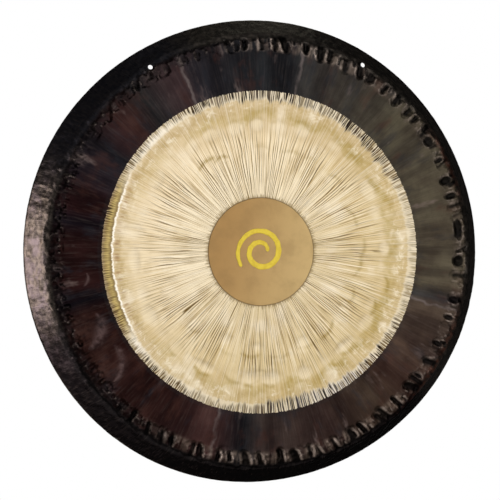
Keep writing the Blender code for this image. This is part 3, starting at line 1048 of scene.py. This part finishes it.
def back_material():
    """The back skin: untouched oxide from the fire, with hammer marks and faint scraping."""
    nodes = Nodes("dark_oxide_back", Metallic=0.9)
    lumps = nodes.noise(nodes.spot, 60.0, detail=4.0, roughness=0.6)
    bands = nodes.strokes(40, 12, detail=3.0, seed=21.0)
    pits = nodes.noise(nodes.spot, 600.0, detail=3.0, roughness=0.6)
    base = nodes.mix(nodes.span(lumps, 0.30, 0.70), (62, 54, 48), (84, 73, 62))
    base = nodes.over(base, (66, 50, 48), nodes.span(bands, 0.45, 0.7))
    scraped = nodes.strokes(420, 16, detail=4.0, roughness=0.65, seed=37.0)
    base = nodes.over(base, (112, 99, 86), nodes.span(scraped, 0.50, 0.72), 0.35)
    blows = nodes.add("ShaderNodeTexVoronoi", (nodes.spot,), feature="SMOOTH_F1")
    blows.node.inputs["Scale"].default_value = 62.0
    base = nodes.over(base, (44, 38, 36), nodes.span(blows, 0.30, 0.10, 0.0, 0.35))
    height = nodes.line(blows, 1.6, nodes.line(pits, 0.3, lumps))
    return nodes.finish(base, nodes.line(lumps, 0.3, 0.30), height, 0.6, 0.0009)


def lacquer_material():
    """Thin tan lacquer, lighter toward the lower right as painted light, with a darker line where it was cut
    in.
    """
    nodes = Nodes("tan_lacquer_film", Metallic=0.4, Specular_IOR_Level=0.35)
    # Painted light: the lacquer runs lighter toward the lower right
    side = nodes.minus(nodes.x, nodes.times(nodes.z, 0.25))
    base = nodes.mix(nodes.span(side, -0.08, 0.115), (186, 144, 85), (218, 185, 125))
    cloud = nodes.noise(nodes.centred, 30.0, detail=4.0, roughness=0.6)
    base = nodes.over(base, (150, 118, 72), nodes.span(cloud, 0.4, 0.7), 0.25)
    grain = nodes.noise(nodes.spot, 900.0)
    base = nodes.over(base, (120, 92, 56), grain, 0.14)
    rim = nodes.span(nodes.radius, DISC_RADIUS - 0.0022, DISC_RADIUS - 0.0012)
    base = nodes.over(base, (110, 84, 50), rim, 0.5)
    return nodes.finish(base, nodes.line(cloud, 0.2, 0.32), nodes.line(cloud, 0.8, grain), 0.35, 0.0003)


def paint_material():
    """Yellow brush paint with fine streaks."""
    nodes = Nodes("yellow_brush_paint", Metallic=0.35, Specular_IOR_Level=0.4)
    cloud = nodes.noise(nodes.spot, 120.0, detail=3.0, roughness=0.6)
    base = nodes.mix(nodes.span(cloud, 0.35, 0.7), (243, 212, 60), (228, 194, 50))
    streaks = nodes.noise(nodes.spot, 700.0)
    base = nodes.over(base, (240, 222, 90), streaks, 0.2)
    return nodes.finish(base, nodes.line(streaks, 0.2, 0.28), streaks, 0.3, 0.0003)


def floor_material():
    """Pale floor, fading out at its edge."""
    nodes = Nodes("pale_floor")
    far = nodes.add("ShaderNodeVectorMath", (nodes.centred,), operation="LENGTH", output=1)
    grain = nodes.noise(nodes.spot, 40.0, detail=3.0)
    nodes.put(nodes.shader.inputs["Alpha"], nodes.span(far, FLOOR_RADIUS - 0.1, FLOOR_RADIUS - 1.0))
    return nodes.finish(nodes.mix(grain, (236, 236, 234), (242, 242, 240)), 0.7, grain, 0.05, 0.0005)


# ---------------------------------------------------------------- the gong


bright, oxide, back = bright_material(), oxide_material(), back_material()
face_rows = np.concatenate([[0], np.linspace(0.012, 0.090, 8), np.linspace(0.0925, FACE_END, 104)])
face_back_rows = np.concatenate([[0], np.linspace(0.02, FACE_END, 40)])
gong_face = sheet_piece("gong_face", face_rows, face_back_rows, FACE_COLUMNS, bright, back)
gong_annulus = sheet_piece(
    "gong_annulus",
    np.linspace(FACE_END, ANNULUS_END, 27),
    np.linspace(FACE_END, ANNULUS_END, 12),
    ANNULUS_COLUMNS,
    oxide,
    back,
)
crease_rows = np.linspace(ANNULUS_END, 0.376, 29)
wall_rows = np.linspace(0.376, RIM_END, 22)[1:]
gong_rim = sheet_piece(
    "gong_rim",
    np.concatenate([crease_rows, wall_rows]),
    np.linspace(ANNULUS_END, RIM_END, 16),
    RIM_COLUMNS,
    oxide,
    back,
    holes=(HOLE_TURN, -HOLE_TURN),
)
lacquer_disc = make_disc()
brush_sign = make_sign()

lacquer_disc.data.materials.append(lacquer_material())
brush_sign.data.materials.append(paint_material())

for piece, node, slot in (
    (gong_face, "gong_plate", "nickel_silver"),
    (gong_annulus, "gong_plate", "black_oxide"),
    (gong_rim, "gong_plate", "black_oxide"),
    (lacquer_disc, "centre_disc", "tan_lacquer"),
    (brush_sign, "painted_sign", "yellow_paint"),
):
    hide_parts(node)
    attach(piece, "root")


# ---------------------------------------------------------------- stage, light and camera

GONG_CENTRE = Vector((0.0, FACE_EDGE_Y, CENTRE_Z))


def softbox(name, direction, distance, width, height, radiance, tint=(1.0, 1.0, 1.0)):
    """A camera-invisible panel that faces the gong. Its power follows from its size and radiance."""
    light = bpy.data.lights.new(name, "AREA")
    light.shape = "RECTANGLE"
    light.size, light.size_y = width, height
    light.energy = radiance * math.pi * width * height
    light.color = tint
    lamp = bpy.data.objects.new(name, light)
    bpy.context.scene.collection.objects.link(lamp)
    direction = Vector(direction).normalized()
    lamp.location = GONG_CENTRE + direction * distance
    lamp.rotation_euler = direction.to_track_quat("Z", "Y").to_euler()
    lamp.visible_camera = False


softbox("front_softbox", (0.225, -0.974, 0.02), 3.2, 4.6, 4.6, 1.45)
softbox("left_rear_panel", (-0.90, 0.43, -0.03), 3.0, 2.4, 1.5, 7.0, (1.0, 0.92, 0.92))
softbox("top_rear_panel", (0.22, 0.69, 0.69), 3.0, 0.9, 0.35, 3.0, (1.0, 0.92, 0.72))
softbox("overhead_softbox", (0.0, 0.05, 1.0), 3.4, 3.0, 3.0, 0.35)
softbox("rear_softbox", (0.0, 1.0, 0.05), 4.0, 2.0, 2.0, 0.7)

world = bpy.data.worlds.new("studio")
bpy.context.scene.world = world
world.use_nodes = True
sky = world.node_tree.nodes["Background"]
path = world.node_tree.nodes.new("ShaderNodeLightPath")
blend = world.node_tree.nodes.new("ShaderNodeMix")
blend.data_type = "RGBA"
blend.inputs[6].default_value = (0.03, 0.03, 0.03, 1)
blend.inputs[7].default_value = (1, 1, 1, 1)
world.node_tree.links.new(path.outputs["Is Camera Ray"], blend.inputs[0])
world.node_tree.links.new(blend.outputs[2], sky.inputs[0])

floor_mesh = bpy.data.meshes.new("floor")
floor_turns = turns_of(FLOOR_SIDES)
floor_x, floor_y = FLOOR_RADIUS * np.cos(floor_turns), FLOOR_RADIUS * np.sin(floor_turns)
floor_ring = np.stack([floor_x, floor_y, np.full(FLOOR_SIDES, FLOOR_Z)], -1)
floor_mesh.from_pydata(floor_ring.tolist(), [], [list(range(FLOOR_SIDES))])
floor = bpy.data.objects.new("floor", floor_mesh)
bpy.context.scene.collection.objects.link(floor)
floor_mesh.materials.append(floor_material())

CAMERA_AZIMUTH = math.radians(-12.6)
CAMERA_ELEVATION = math.radians(0.7)
CAMERA_ROLL = math.radians(-0.87)
CAMERA_DISTANCE = 5.18

# Half the view's width at the gong, and how far the view's middle lies to the left of and above the gong's
HALF_VIEW = 0.4319
AIM_LEFT, AIM_UP = 0.0183, 0.0029

camera_data = bpy.data.cameras.new("camera")
camera = bpy.data.objects.new("camera", camera_data)
bpy.context.scene.collection.objects.link(camera)
back_way = Vector(
    (
        math.sin(CAMERA_AZIMUTH) * math.cos(CAMERA_ELEVATION),
        -math.cos(CAMERA_AZIMUTH) * math.cos(CAMERA_ELEVATION),
        math.sin(CAMERA_ELEVATION),
    )
)
turned = (-back_way).to_track_quat("-Z", "Y").to_matrix() @ Matrix.Rotation(CAMERA_ROLL, 3, "Z")
camera.rotation_euler = turned.to_euler()
camera.location = GONG_CENTRE + back_way * CAMERA_DISTANCE + turned @ Vector((-AIM_LEFT, AIM_UP, 0.0))
camera_data.sensor_width = 36.0
camera_data.lens = camera_data.sensor_width / 2 * CAMERA_DISTANCE / HALF_VIEW
camera_data.clip_end = 60.0
bpy.context.scene.camera = camera

bpy.context.scene.view_settings.view_transform = "Standard"
